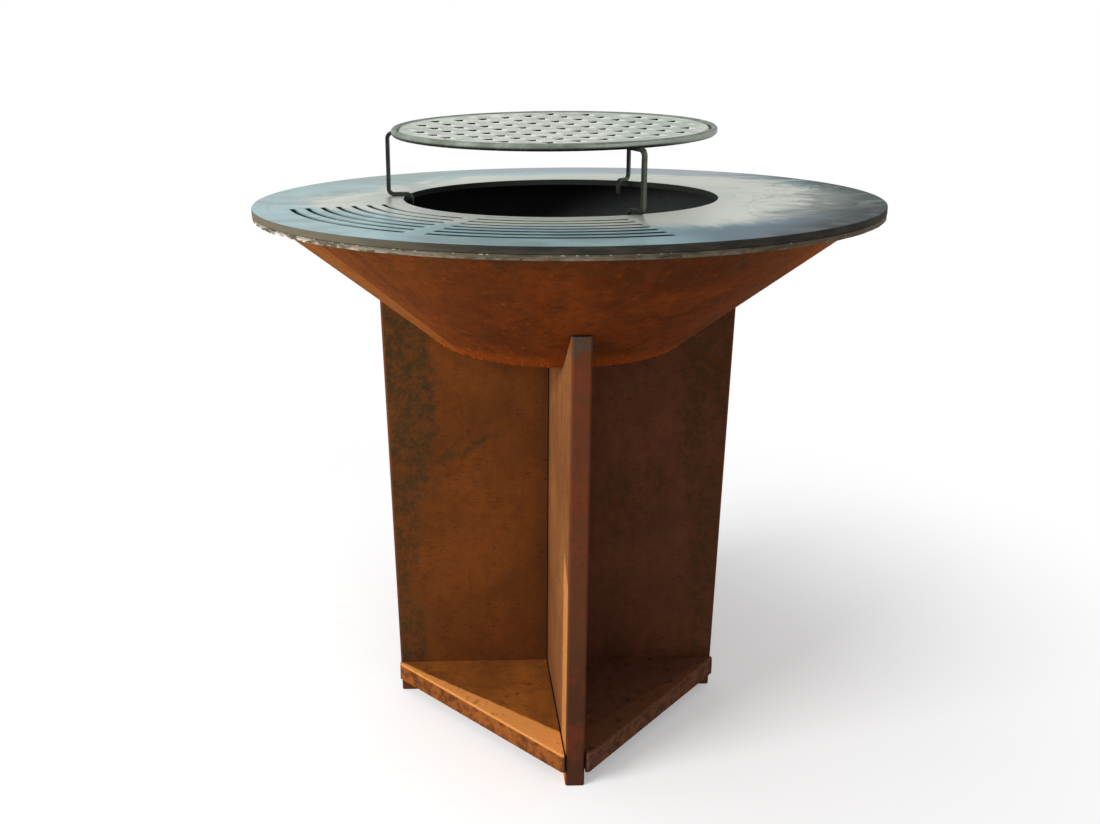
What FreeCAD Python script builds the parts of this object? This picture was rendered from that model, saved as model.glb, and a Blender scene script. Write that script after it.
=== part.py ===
import FreeCAD, Part
import math
import os

# Brazier barbecue: a fire bowl on a cross of four hollow fins, a ring-shaped cooking plate
# on the bowl's rim, and a three-legged grate standing over the fire hole.
# Millimetres. The origin is on the bowl's axis at floor level, +Z is up, and one fin points to -Y.

# Base: four folded fins round a square core tube
sheet = 3.0             # steel sheet of fins, core tube and trays
fin_width = 30.0        # outside width of a fin and of the core tube
fin_foot_r = 280.0      # axis to a fin's outer edge at the floor
fin_lean = 1.55         # degrees that the outer edge leans outwards
fin_tip_land = 5.0      # flat left on the tip under the bowl
fold_r = 4.0            # outside radius of the folds

# Firewood trays between the fins
tray_top_z = 56.0
tray_lip = 30.0         # depth of the turned-down edges
tray_gap = 0.8          # between a tray and the fins beside it
tray_overhang = 1.5     # reach past the fin's outer edge
tray_end = 6.0          # width of the blunt end of each corner

# Fire bowl
bowl_z = 664.0          # underside of the bowl floor
bowl_depth = 218.0      # bowl floor's underside to the top of the cone
bowl_foot_r = 204.0     # outside radius of the cone at the floor
bowl_mouth_r = 474.0    # outside radius of the cone at the top
bowl_wall = 4.0
drain_r = 8.0           # rain drain in the middle of the floor
seat_gap = 0.4          # between the cone and the fins' slanted seats
weld_gap = 0.3          # root gap of a welded butt

# Rim ring and cooking plate
plate_overhang = 26.0   # both rings beyond the cone's top
rim_lap = 22.0          # rim ring inside the cone's top edge
rim_thick = 8.0
plate_thick = 10.0
fire_hole_r = 255.0
edge_break = 1.0        # chamfer round the plate's top
lug_count = 3
lug_first = 60.0        # direction of the first lug, from +X
lug_span = 7.0          # degrees of arc
lug_thick = 8.0
lug_drop = 14.0
lug_play = 1.0          # between the lugs and the rim ring

# Drip slots: arcs in two sectors beside a narrow bridge
slot_count = 7
slot_inset = 35.5       # fire hole's edge to the innermost slot
slot_outset = 56.5      # outermost slot to the plate's edge
slot_width = 9.0
slot_span = 41.5        # degrees covered by each sector
bridge_span = 4.5       # degrees between the sectors
bridge_angle = -121.5   # direction of the bridge, from +X

# Grate stand: a hoop on three bent legs
stand_shift = 12.0      # stand's middle to the left of the bowl's axis
hoop_overhang = 2.0     # middle of the hoop's bar beyond the fire hole's radius
hoop_width = 9.0        # flat bar standing on edge
hoop_height = 11.0
hoop_bevel = 2.5        # worn-off corners of that bar
hoop_rise = 110.0       # cooking plate's top to the middle of the hoop
grate_lean = 2.8        # degrees that the grate slopes down to the front
leg_bar = 6.5           # square bar
leg_play = 7.5          # between the hoop and a leg
leg_count = 3
leg_first = 172.0       # direction of the left leg, from +X
arm_reach = 30.0        # arm beyond the hoop's inside, under the grid
arm_housing = 2.5       # arm let into the hoop's underside
arm_room = 0.5          # between an arm and the sides of its housing
leg_bend = 9.0          # middle radius of the bends
hook_play = 0.5         # fire hole's edge to where the foot bends down into the hook
hook_drop = 20.0        # hook below the plate's top
touch_gap = 0.3         # between loose pieces and what they rest on

# Grid plate lying in the hoop
grid_play = 3.0         # between the plate and the hoop
grid_thick = 2.5
grid_sink = 1.8         # plate's border below the hoop's top
grid_dish = 6.0         # plate's middle below its border
grid_bevel = 2.5        # bevel round the turned-down rim
grid_border = 7.0       # plain border round the openings
opening_pitch = 47.0    # square openings, middle to middle
opening_side = 19.0
opening_turn = 25.5     # degrees that their rows are turned from +X

# Values that follow from the sizes above
half_fin = fin_width / 2
bowl_top_z = bowl_z + bowl_depth
rim_top_z = bowl_top_z + rim_thick
plate_top_z = rim_top_z + plate_thick
plate_r = bowl_mouth_r + plate_overhang
rim_inner_r = bowl_mouth_r - rim_lap
slot_first_r = fire_hole_r + slot_inset + slot_width / 2
slot_last_r = plate_r - slot_outset - slot_width / 2
slot_pitch = (slot_last_r - slot_first_r) / (slot_count - 1)
bowl_slope = (bowl_mouth_r - bowl_foot_r) / bowl_depth
flat_per_normal = math.hypot(1.0, bowl_slope)
fin_slope = math.tan(math.radians(fin_lean))
lean_slope = math.tan(math.radians(grate_lean))
hoop_r = fire_hole_r + hoop_overhang
hoop_z = plate_top_z + hoop_rise
hoop_inner_r = hoop_r - hoop_width / 2
leg_r = hoop_r + hoop_width / 2 + leg_play + leg_bar / 2
grid_r = hoop_inner_r - grid_play
TURN = FreeCAD.Vector(0, 0, 1)
CENTRE = FreeCAD.Vector(0, 0, 0)


def turned(shape, degrees):
    """A copy of shape, turned about the bowl's axis."""
    copy = shape.copy()
    copy.rotate(CENTRE, TURN, degrees)
    return copy


def face_xz(points):
    """Flat face in the XZ plane through (x, z) points."""
    corners = [FreeCAD.Vector(x, 0, z) for x, z in points]
    return Part.Face(Part.makePolygon(corners + corners[:1]))


def face_xy(points, z):
    """Flat face at height z through (x, y) points."""
    corners = [FreeCAD.Vector(x, y, z) for x, y in points]
    return Part.Face(Part.makePolygon(corners + corners[:1]))


def slab(points, width):
    """Side view of (x, z) points given a width, centred on the XZ plane."""
    block = face_xz(points).extrude(FreeCAD.Vector(0, width, 0))
    block.translate(FreeCAD.Vector(0, -width / 2, 0))
    return block


def ring(inner_r, outer_r, z, thick):
    """Flat ring with its underside at z."""
    low = FreeCAD.Vector(0, 0, z)
    return Part.makeCylinder(outer_r, thick, low).cut(Part.makeCylinder(inner_r, thick, low))


def edge_r(z):
    """Radius of a fin's outer edge at height z."""
    return fin_foot_r + fin_slope * z


def seat_r(z):
    """Radius of a fin's slanted seat under the bowl at height z."""
    return bowl_foot_r + bowl_slope * (z - bowl_z) + seat_gap * flat_per_normal


def outer_folds(block):
    """The two long edges of a fin that stand furthest from the axis."""
    found = []
    for edge in block.Edges:
        ends = [v.Point for v in edge.Vertexes]
        rise = abs(ends[0].z - ends[1].z)
        if rise > bowl_z / 2 and min(p.x for p in ends) > fin_foot_r / 2:
            found.append(edge)
    return found


def fin():
    """One fin along +X: a sheet folded to a U, its top cut to seat the bowl."""
    closing = bowl_slope - fin_slope
    tip_z = (bowl_z * bowl_slope + fin_foot_r - bowl_foot_r - seat_gap * flat_per_normal
             - fin_tip_land) / closing
    side = [(half_fin, 0), (edge_r(0), 0), (edge_r(tip_z), tip_z), (seat_r(tip_z), tip_z),
            (seat_r(bowl_z), bowl_z), (half_fin, bowl_z)]
    block = slab(side, fin_width)
    block = block.makeFillet(fold_r, outer_folds(block))
    below = -fold_r
    above = tip_z + fold_r
    wall = sheet * math.hypot(1.0, fin_slope)
    inside = slab([(0, below), (edge_r(below) - wall, below), (edge_r(above) - wall, above),
                   (0, above)], fin_width - 2 * sheet)
    inside = inside.makeFillet(fold_r - sheet, outer_folds(inside))
    return block.cut(inside)


def foot_strip():
    """Strip along +X that closes a fin's bottom between its two walls."""
    far = edge_r(0) - sheet - fold_r
    size = FreeCAD.Vector(far - half_fin, fin_width - 2 * sheet, sheet)
    corner = FreeCAD.Vector(half_fin, -size.y / 2, 0)
    return Part.makeBox(size.x, size.y, size.z, corner)


def core_tube():
    """Square tube that the four fins are welded to."""
    inner = fin_width - 2 * sheet
    tube = Part.makeBox(fin_width, fin_width, bowl_z)
    bore = Part.makeBox(inner, inner, bowl_z, FreeCAD.Vector(sheet, sheet, 0))
    tube = tube.cut(bore)
    tube.translate(FreeCAD.Vector(-half_fin, -half_fin, 0))
    return tube


def tray_outline(inset):
    """Corners of a tray in the quarter between +X and +Y, drawn in by inset on every side."""
    near = half_fin + tray_gap + inset
    far = edge_r(tray_top_z) + tray_overhang - inset
    long_sum = half_fin + tray_gap + tray_end + edge_r(tray_top_z) + tray_overhang
    long_sum -= inset * math.sqrt(2.0)
    return [(near, near), (far, near), (far, long_sum - far), (long_sum - far, far), (near, far)]


def tray():
    """Three-cornered shelf with its edges turned down."""
    low = tray_top_z - tray_lip
    block = face_xy(tray_outline(0), low).extrude(FreeCAD.Vector(0, 0, tray_lip))
    long_edge = [e for e in block.Edges
                 if min(v.Z for v in e.Vertexes) > tray_top_z - sheet and e.Length > fin_foot_r]
    block = block.makeFillet(fold_r, long_edge)
    hollow = face_xy(tray_outline(sheet), low - sheet).extrude(FreeCAD.Vector(0, 0, tray_lip))
    return block.cut(hollow)


def bowl_cone():
    """Rolled cone, open at the bottom for the floor."""
    wall = bowl_wall * flat_per_normal
    side = [(bowl_foot_r, bowl_z), (bowl_mouth_r, bowl_top_z),
            (bowl_mouth_r - wall, bowl_top_z), (bowl_foot_r - wall, bowl_z)]
    return face_xz(side).revolve(CENTRE, TURN, 360)


def bowl_floor():
    """Flat disc inside the cone's lower end, with a rain drain."""
    radius = bowl_foot_r - bowl_wall * flat_per_normal - weld_gap
    return ring(drain_r, radius, bowl_z, bowl_wall)


def rim_ring():
    """Ring welded on the bowl's mouth, which carries the cooking plate."""
    return ring(rim_inner_r, plate_r, bowl_top_z, rim_thick)


def arc_slot(middle_r, start, span):
    """Cutter for one slot: a strip bent round the axis, with square ends."""
    strip = face_xz([(middle_r - slot_width / 2, rim_top_z - plate_thick),
                     (middle_r + slot_width / 2, rim_top_z - plate_thick),
                     (middle_r + slot_width / 2, plate_top_z + plate_thick),
                     (middle_r - slot_width / 2, plate_top_z + plate_thick)])
    return turned(strip.revolve(CENTRE, TURN, span), start)


def plate_ring():
    """Cooking plate: a ring with a fire hole and two sectors of drip slots."""
    plate = ring(fire_hole_r, plate_r, rim_top_z, plate_thick)
    rims = [e for e in plate.Edges
            if isinstance(e.Curve, Part.Circle) and e.CenterOfMass.z > plate_top_z - edge_break]
    plate = plate.makeChamfer(edge_break, rims)
    slots = []
    for start in (bridge_angle - bridge_span / 2 - slot_span, bridge_angle + bridge_span / 2):
        for k in range(slot_count):
            slots.append(arc_slot(slot_first_r + k * slot_pitch, start, slot_span))
    return plate.cut(Part.Compound(slots))


def plate_lugs():
    """Lugs under the cooking plate that keep it in the middle of the rim ring."""
    outer = rim_inner_r - lug_play
    strip = face_xz([(outer - lug_thick, rim_top_z - lug_drop), (outer, rim_top_z - lug_drop),
                     (outer, rim_top_z), (outer - lug_thick, rim_top_z)])
    lug = turned(strip.revolve(CENTRE, TURN, lug_span), -lug_span / 2)
    return Part.Compound([turned(lug, lug_first + k * 360 / lug_count) for k in range(lug_count)])


def leaned(shape):
    """A copy of a level shape about the hoop's middle, sloped to the front and lifted there."""
    copy = shape.copy()
    copy.rotate(CENTRE, FreeCAD.Vector(1, 0, 0), grate_lean)
    copy.translate(FreeCAD.Vector(-stand_shift, 0, hoop_z))
    return copy


def bevelled_bar(half_w, half_h, bevel):
    """Corners of a bevelled rectangle about the origin, in turn."""
    return [(half_w, bevel - half_h), (half_w, half_h - bevel), (half_w - bevel, half_h),
            (bevel - half_w, half_h), (-half_w, half_h - bevel), (-half_w, bevel - half_h),
            (bevel - half_w, -half_h), (half_w - bevel, -half_h)]


def grate_hoop():
    """Flat bar with bevelled corners, bent to a hoop and notched underneath for the arms."""
    half_w = hoop_width / 2
    half_h = hoop_height / 2
    bar = bevelled_bar(half_w, half_h, hoop_bevel)
    hoop = face_xz([(hoop_r + x, z) for x, z in bar]).revolve(CENTRE, TURN, 360)
    across = leg_bar + 2 * arm_room
    corner = FreeCAD.Vector(hoop_r - hoop_width, -across / 2, -2 * half_h)
    notch = Part.makeBox(2 * hoop_width, across, half_h + arm_housing, corner)
    notches = [turned(notch, leg_first + k * 360 / leg_count) for k in range(leg_count)]
    return leaned(hoop.cut(Part.Compound(notches)))


def bent_path(points, radius):
    """Wire in the XZ plane through (x, z) points, with every inner corner rounded to radius."""
    corners = [FreeCAD.Vector(x, 0, z) for x, z in points]
    edges = []
    start = corners[0]
    for before, corner, after in zip(corners, corners[1:], corners[2:]):
        back = (before - corner).normalize()
        ahead = (after - corner).normalize()
        half = back.getAngle(ahead) / 2
        reach = radius / math.tan(half)
        middle = (back + ahead).normalize() * (radius / math.sin(half) - radius)
        first = corner + back * reach
        last = corner + ahead * reach
        edges.append(Part.makeLine(start, first))
        edges.append(Part.Arc(first, corner + middle, last).toShape())
        start = last
    edges.append(Part.makeLine(start, corners[-1]))
    return Part.Wire(edges)


def bar_section(origin, along):
    """Square bar's section at origin, square to a path that starts in the direction along."""
    across = FreeCAD.Vector(0, leg_bar / 2, 0)
    upward = FreeCAD.Vector(-along.z, 0, along.x).normalize() * (leg_bar / 2)
    corners = [origin + across + upward, origin - across + upward,
               origin - across - upward, origin + across - upward]
    return Part.makePolygon(corners + corners[:1])


def grate_leg(direction):
    """Leg in one vertical plane: arm under the hoop, upright, foot on the plate, hook in the hole."""
    drop = hoop_height / 2 - arm_housing + touch_gap + leg_bar / 2
    rise = lean_slope * math.sin(math.radians(direction))
    arm_r = hoop_inner_r - arm_reach
    foot_z = plate_top_z + leg_bar / 2
    hook_r = fire_hole_r - stand_shift - hook_play - leg_bend
    points = [(arm_r, hoop_z + rise * arm_r - drop), (leg_r, hoop_z + rise * leg_r - drop),
              (leg_r, foot_z), (hook_r, foot_z), (hook_r, plate_top_z - hook_drop)]
    path = bent_path(points, leg_bend)
    along = FreeCAD.Vector(points[1][0] - arm_r, 0, points[1][1] - points[0][1])
    section = bar_section(FreeCAD.Vector(arm_r, 0, points[0][1]), along)
    leg = turned(path.makePipeShell([section], True, False), direction)
    leg.translate(FreeCAD.Vector(-stand_shift, 0, 0))
    return leg


def opening_cutters(cut_r, low, high):
    """Prisms of the square openings: whole ones only, in rows either side of the middle."""
    half = opening_side / 2
    steps = int(cut_r / opening_pitch) + 1
    cutters = []
    for i in range(-steps, steps + 1):
        for j in range(-steps, steps + 1):
            x = (i + 0.5) * opening_pitch
            y = j * opening_pitch
            if math.hypot(abs(x) + half, abs(y) + half) > cut_r:
                continue
            corner = FreeCAD.Vector(x - half, y - half, low)
            prism = Part.makeBox(opening_side, opening_side, high - low, corner)
            cutters.append(turned(prism, opening_turn))
    return cutters


def ball(radius, centre_z):
    """Large ball with its poles to the sides, so that the dish lies on its smooth middle."""
    return Part.makeSphere(radius, FreeCAD.Vector(0, 0, centre_z), FreeCAD.Vector(1, 0, 0))


def grid_plate():
    """Round grid, slightly dished, with square openings and a turned-down rim that rests on the arms."""
    low = arm_housing - hoop_height / 2
    high = hoop_height / 2 - grid_sink
    bottom = high - 3 * grid_dish
    foot = FreeCAD.Vector(0, 0, bottom)
    ball_r = ((grid_r - grid_bevel) ** 2 + grid_dish ** 2) / (2 * grid_dish)
    centre_z = high - grid_dish + ball_r
    disc = Part.makeCylinder(grid_r, high - bottom, foot)
    top = [e for e in disc.Edges if isinstance(e.Curve, Part.Circle) and e.CenterOfMass.z > 0]
    disc = disc.makeChamfer(grid_bevel, top).cut(ball(ball_r, centre_z))
    hollow = Part.makeCylinder(grid_r - grid_thick, high - bottom, foot).cut(ball(ball_r + grid_thick, centre_z))
    below_rim = ring(grid_r - grid_thick, grid_r + grid_thick, bottom, low - bottom)
    pan = disc.cut(hollow).cut(below_rim)
    cutters = opening_cutters(grid_r - grid_border, bottom, high + grid_dish)
    return leaned(pan.cut(Part.Compound(cutters)))


def save(name, shape):
    """Writes one piece and says how large it came out."""
    box = shape.BoundBox
    shape.exportStep("parts/" + name + ".step")
    print(f"{name}: {len(shape.Solids)} solid, {box.XLength:.1f} x {box.YLength:.1f} x {box.ZLength:.1f}")


os.makedirs("parts", exist_ok=True)
one_fin = fin()
one_strip = foot_strip()
one_tray = tray()
for place, name in enumerate(("right", "back", "left", "front")):
    save("fin_" + name, turned(one_fin, place * 90))
    save("foot_strip_" + name, turned(one_strip, place * 90))
for place, name in enumerate(("back_right", "back_left", "front_left", "front_right")):
    save("tray_" + name, turned(one_tray, place * 90))
save("core_tube", core_tube())
save("bowl_cone", bowl_cone())
save("bowl_floor", bowl_floor())
save("rim_ring", rim_ring())
save("plancha_ring", plate_ring())
save("plancha_lugs", plate_lugs())
save("grate_hoop", grate_hoop())
for place, name in enumerate(("left", "front", "back")):
    save("grate_leg_" + name, grate_leg(leg_first + place * 360 / leg_count))
save("grid_plate", grid_plate())
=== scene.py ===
# %% [markdown]
# # Brazier barbecue
# The real object is a shallow fire bowl of weathering steel on a cross of four hollow fins. A thick
# ring-shaped cooking plate lies on the bowl's rim, and a round grate stands over the fire on three bent legs.
# The CAD model gives every place and size. This lesson dresses it: round pieces are worked out again as
# smooth surfaces, small marks of the workshop are added, and every piece gets a finish of its own.

# %% Load the frame
import math
import bpy
import numpy as np
from mathutils import Matrix, Vector


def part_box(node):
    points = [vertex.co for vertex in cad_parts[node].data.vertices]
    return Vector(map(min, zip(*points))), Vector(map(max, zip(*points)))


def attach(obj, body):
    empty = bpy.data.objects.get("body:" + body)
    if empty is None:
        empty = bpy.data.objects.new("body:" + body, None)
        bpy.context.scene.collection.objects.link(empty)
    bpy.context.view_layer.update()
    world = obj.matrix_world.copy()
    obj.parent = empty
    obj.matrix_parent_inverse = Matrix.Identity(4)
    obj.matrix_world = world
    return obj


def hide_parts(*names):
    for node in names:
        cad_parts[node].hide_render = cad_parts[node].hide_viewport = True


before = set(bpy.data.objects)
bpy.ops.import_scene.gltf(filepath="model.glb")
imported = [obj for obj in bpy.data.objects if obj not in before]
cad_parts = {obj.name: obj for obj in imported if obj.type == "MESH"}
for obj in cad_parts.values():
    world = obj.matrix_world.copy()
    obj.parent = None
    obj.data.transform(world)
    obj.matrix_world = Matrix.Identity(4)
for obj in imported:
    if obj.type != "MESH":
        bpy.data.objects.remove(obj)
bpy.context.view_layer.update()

# %% [markdown]
# ## Sizes
# All sizes could be typed again, but then they could drift from the CAD model. Reading them off the boxes of
# the CAD nodes keeps them in step; only what a box can't tell, such as a wall's thickness, is written here.

# %% Sizes shared by the pieces, in metres
bowl_low, bowl_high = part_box("bowl_cone")
_, rim_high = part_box("rim_ring")
_, plate_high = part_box("plancha_ring")
hoop_low, hoop_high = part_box("grate_hoop")
BOWL_Z, BOWL_TOP, MOUTH_R = bowl_low.z, bowl_high.z, bowl_high.x
FOOT_R, BOWL_WALL = 0.204, 0.004
RIM_TOP, RIM_INNER_R = rim_high.z, 0.452
PLATE_TOP, PLATE_R, HOLE_R = plate_high.z, plate_high.x, 0.255
HOOP_Z, HOOP_R = (hoop_low.z + hoop_high.z) / 2, 0.257
STAND_X = (hoop_low.x + hoop_high.x) / 2
GRATE_LEAN = math.radians(2.8)
LEAN_SLOPE = math.tan(GRATE_LEAN)
BOWL_SLOPE = (MOUTH_R - FOOT_R) / (BOWL_TOP - BOWL_Z)
WALL_ACROSS = BOWL_WALL * math.hypot(1, BOWL_SLOPE)
FIN_FOOT_R, FIN_SLOPE = 0.280, math.tan(math.radians(1.55))
print("plate radius", PLATE_R, "top", PLATE_TOP, "hoop middle", HOOP_Z)

# %% [markdown]
# ## Camera
# The photograph was taken from just above grate height, a little to the left, and its frame reaches further
# to the right and further down than the lens points. A wider lens could cover that, but it would bend the
# proportions; a lens shift keeps them.

# %% Camera
LENS_MM, SENSOR_MM = 33.126, 36.0
camera_data = bpy.data.cameras.new("photo_camera")
camera_data.lens = LENS_MM
camera_data.sensor_width = SENSOR_MM
camera_data.sensor_fit = "HORIZONTAL"
camera_data.shift_x = 0.1000
camera_data.shift_y = -0.1018
camera = bpy.data.objects.new("photo_camera", camera_data)
bpy.context.scene.collection.objects.link(camera)
tilt_down, roll = 0.2207, -0.0185
camera.matrix_world = (Matrix.Translation((-0.19866, -1.67032, 1.10126))
                       @ Matrix.Rotation(math.pi / 2 - tilt_down, 4, "X") @ Matrix.Rotation(roll, 4, "Z"))
bpy.context.scene.camera = camera
print("camera at", tuple(round(v, 3) for v in camera.location), "lens", camera_data.lens)

# %% [markdown]
# ## Short words for nodes
# A node tree can be clicked together or written out node by node. A few short helpers keep the written form
# readable: one adds a node, the others are the handful of sums, ramps and noises that every finish needs.

# %% Node helpers
def add(tree, kind, links=None, **settings):
    """One node. Settings are its properties; links are its inputs, each a value or another node's output."""
    node = tree.nodes.new(kind)
    for key, value in settings.items():
        setattr(node, key, value)
    for key, value in (links or {}).items():
        if isinstance(value, bpy.types.NodeSocket):
            tree.links.new(value, node.inputs[key])
        else:
            node.inputs[key].default_value = value
    return node


def calc(tree, operation, *values):
    """Result of a calculation with one, two or three numbers."""
    return add(tree, "ShaderNodeMath", dict(enumerate(values)), operation=operation).outputs[0]


def times(tree, first, *others):
    """Product of its numbers."""
    for other in others:
        first = calc(tree, "MULTIPLY", first, other)
    return first


def scaled(tree, value, factor, offset):
    """Value times factor, plus offset."""
    return calc(tree, "MULTIPLY_ADD", value, factor, offset)


def ramp(tree, value, start, end):
    """Smooth step from 0 where value is start to 1 where it is end; start may be the larger one."""
    low, high, to_low, to_high = (start, end, 0.0, 1.0) if start < end else (end, start, 1.0, 0.0)
    links = {"Value": value, "From Min": low, "From Max": high, "To Min": to_low, "To Max": to_high}
    return add(tree, "ShaderNodeMapRange", links, interpolation_type="SMOOTHSTEP").outputs[0]


def noise(tree, place, scale, detail=4.0, rough=0.55, warp=0.0):
    """Cloudy value about one half, with scale clouds to the metre."""
    links = {"Vector": place, "Scale": scale, "Detail": detail, "Roughness": rough, "Distortion": warp}
    return add(tree, "ShaderNodeTexNoise", links).outputs[0]


def vector_calc(tree, operation, *values):
    """Result of a calculation with one or two vectors; a length or a dot product is a number."""
    outputs = add(tree, "ShaderNodeVectorMath", dict(enumerate(values)), operation=operation).outputs
    return outputs["Value" if operation in ("LENGTH", "DOT_PRODUCT") else "Vector"]


def stretched(tree, place, x, y, z):
    """Place with each direction multiplied, so that a noise is drawn out along the smaller ones."""
    return vector_calc(tree, "MULTIPLY", place, (x, y, z))


def mixed(tree, share, first, second, way="MIX"):
    """Colour between first and second; share 1 is all second."""
    links = {0: share, 6: first, 7: second}
    return add(tree, "ShaderNodeMix", links, data_type="RGBA", blend_type=way).outputs[2]


def between(tree, share, first, second):
    """Number between first and second; share 1 is all second."""
    return add(tree, "ShaderNodeMix", {0: share, 2: first, 3: second}).outputs[0]


def layered(tree, color, *layers):
    """Color with layers on it, each a colour and the shares whose product says how thick it lies."""
    for laid, *shares in layers:
        color = mixed(tree, times(tree, *shares), color, laid)
    return color


def tone(red, green, blue):
    """A screen colour of 0 to 255 as the linear colour that shaders use."""
    c = np.array([red, green, blue]) / 255
    return (*np.where(c <= 0.04045, c / 12.92, ((c + 0.055) / 1.055) ** 2.4).tolist(), 1.0)


def new_finish(name):
    """A material with an empty tree, its tree, and the socket of the piece's own coordinates."""
    material = bpy.data.materials.new(name)
    material.use_nodes = True
    material.node_tree.nodes.clear()
    return material, material.node_tree, add(material.node_tree, "ShaderNodeTexCoord").outputs["Object"]


print("helpers ready; mid grey is", [round(v, 3) for v in tone(128, 128, 128)])

# %% [markdown]
# ## Stage and light
# The photograph is a cut-out on white, lit softly from the left. A white sheet could be lit until it glows,
# but that light would fall on the steel as well. Here only camera, mirror and see-through rays see the world
# as white, and the floor adds a little of its own light for those rays, so the object keeps a plain light
# level and a soft shadow under it.

# %% World
def seen_directly(tree):
    """1 for rays that show the background: camera, glossy and transmission rays."""
    path = add(tree, "ShaderNodeLightPath").outputs
    mirror = calc(tree, "MAXIMUM", path["Is Glossy Ray"], path["Is Transmission Ray"])
    return calc(tree, "MAXIMUM", path["Is Camera Ray"], mirror)


AMBIENT = 0.42
world = bpy.data.worlds.new("white_studio")
world.use_nodes = True
world.node_tree.nodes.clear()
shown = scaled(world.node_tree, seen_directly(world.node_tree), 1 - AMBIENT, AMBIENT)
sky = add(world.node_tree, "ShaderNodeBackground", {"Color": (1, 1, 1, 1), "Strength": shown})
add(world.node_tree, "ShaderNodeOutputWorld", {"Surface": sky.outputs[0]})
bpy.context.scene.world = world
print("world light", AMBIENT)

# %% Floor
FLOOR_HALF, FLOOR_DROP = 12.0, 0.0004
floor_mesh = bpy.data.meshes.new("studio_floor")
floor_corner = np.array([[-1, -1], [1, -1], [1, 1], [-1, 1]]) * FLOOR_HALF
floor_mesh.from_pydata(np.c_[floor_corner, np.full(4, -FLOOR_DROP)].tolist(), [], [[0, 1, 2, 3]])
floor = bpy.data.objects.new("studio_floor", floor_mesh)
bpy.context.scene.collection.objects.link(floor)
paper, tree, place = new_finish("white_paper")
white = mixed(tree, noise(tree, place, 3.0), (0.86, 0.86, 0.86, 1), (0.9, 0.9, 0.9, 1))
matt = add(tree, "ShaderNodeBsdfDiffuse", {"Color": white})
lift = add(tree, "ShaderNodeEmission", {"Strength": times(tree, seen_directly(tree), 0.30)})
near = add(tree, "ShaderNodeAddShader", {0: matt.outputs[0], 1: lift.outputs[0]})
fade = times(tree, ramp(tree, vector_calc(tree, "LENGTH", place), 0.45, 1.5), seen_directly(tree))
far_off = add(tree, "ShaderNodeEmission", {"Strength": 1.0})
sheet = add(tree, "ShaderNodeMixShader", {0: fade, 1: near.outputs[0], 2: far_off.outputs[0]})
add(tree, "ShaderNodeOutputMaterial", {"Surface": sheet.outputs[0]})
floor_mesh.materials.append(paper)
print("floor side", 2 * FLOOR_HALF)

# %% Lamps
def soft_lamp(name, place, aim, watts, side):
    """Square area lamp at place, turned towards aim."""
    data = bpy.data.lights.new(name, "AREA")
    data.energy = watts
    data.size = side
    lamp = bpy.data.objects.new(name, data)
    bpy.context.scene.collection.objects.link(lamp)
    turn = (Vector(place) - Vector(aim)).to_track_quat("Z", "Y")
    lamp.matrix_world = Matrix.Translation(place) @ turn.to_matrix().to_4x4()
    print(name, watts, "W at", place)


soft_lamp("left_window", (-3.0, -1.75, 1.85), (0, 0, 0.5), watts=120, side=1.5)
soft_lamp("top_sheet", (-0.5, -0.3, 3.2), (0, 0, 0.8), watts=16, side=2.2)
bpy.context.scene.view_settings.view_transform = "Standard"

# %% [markdown]
# ## Weathering steel
# The bowl, fins and trays are weathering steel: a thin rust skin that starts orange, deepens to brown, and
# keeps dark marks where the mill scale or water stayed. A picture of rust would repeat and carry its own
# light. Layers of noise at the real scales do not: clouds of a hand's width, mottle of two or three
# centimetres, short level flecks from rolling, faint run marks, and grain. Every rusty piece uses the same
# skin, so it is built once as a group.

# %% Group: where on the object
def new_group(name, inputs, outputs):
    """Empty shader node group; inputs are (name, kind, value) and outputs (name, kind)."""
    group = bpy.data.node_groups.new(name, "ShaderNodeTree")
    for label, kind, value in inputs:
        group.interface.new_socket(label, in_out="INPUT", socket_type=kind).default_value = value
    for label, kind in outputs:
        group.interface.new_socket(label, in_out="OUTPUT", socket_type=kind)
    return group, add(group, "NodeGroupInput").outputs, add(group, "NodeGroupOutput")


def hand_out(group, out, **values):
    """Links each value to the group output of that name."""
    for label, value in values.items():
        group.links.new(value, out.inputs[label])


NUMBER, COLOUR, PLACE = "NodeSocketFloat", "NodeSocketColor", "NodeSocketVector"
where_group, given, out = new_group("place_round_the_axis", [("Place", PLACE, (0, 0, 0))],
                                    [("X", NUMBER), ("Y", NUMBER), ("Height", NUMBER), ("Radius", NUMBER),
                                     ("Angle", NUMBER), ("Reach", NUMBER)])
split = add(where_group, "ShaderNodeSeparateXYZ", {0: given["Place"]}).outputs
flat = stretched(where_group, given["Place"], 1, 1, 0)
off_axis = [calc(where_group, "ABSOLUTE", split[way]) for way in (0, 1)]
hand_out(where_group, out, X=split[0], Y=split[1], Height=split[2],
         Radius=vector_calc(where_group, "LENGTH", flat),
         Angle=calc(where_group, "ARCTAN2", split[1], split[0]),
         Reach=calc(where_group, "MAXIMUM", *off_axis))
print("group", where_group.name)

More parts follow.
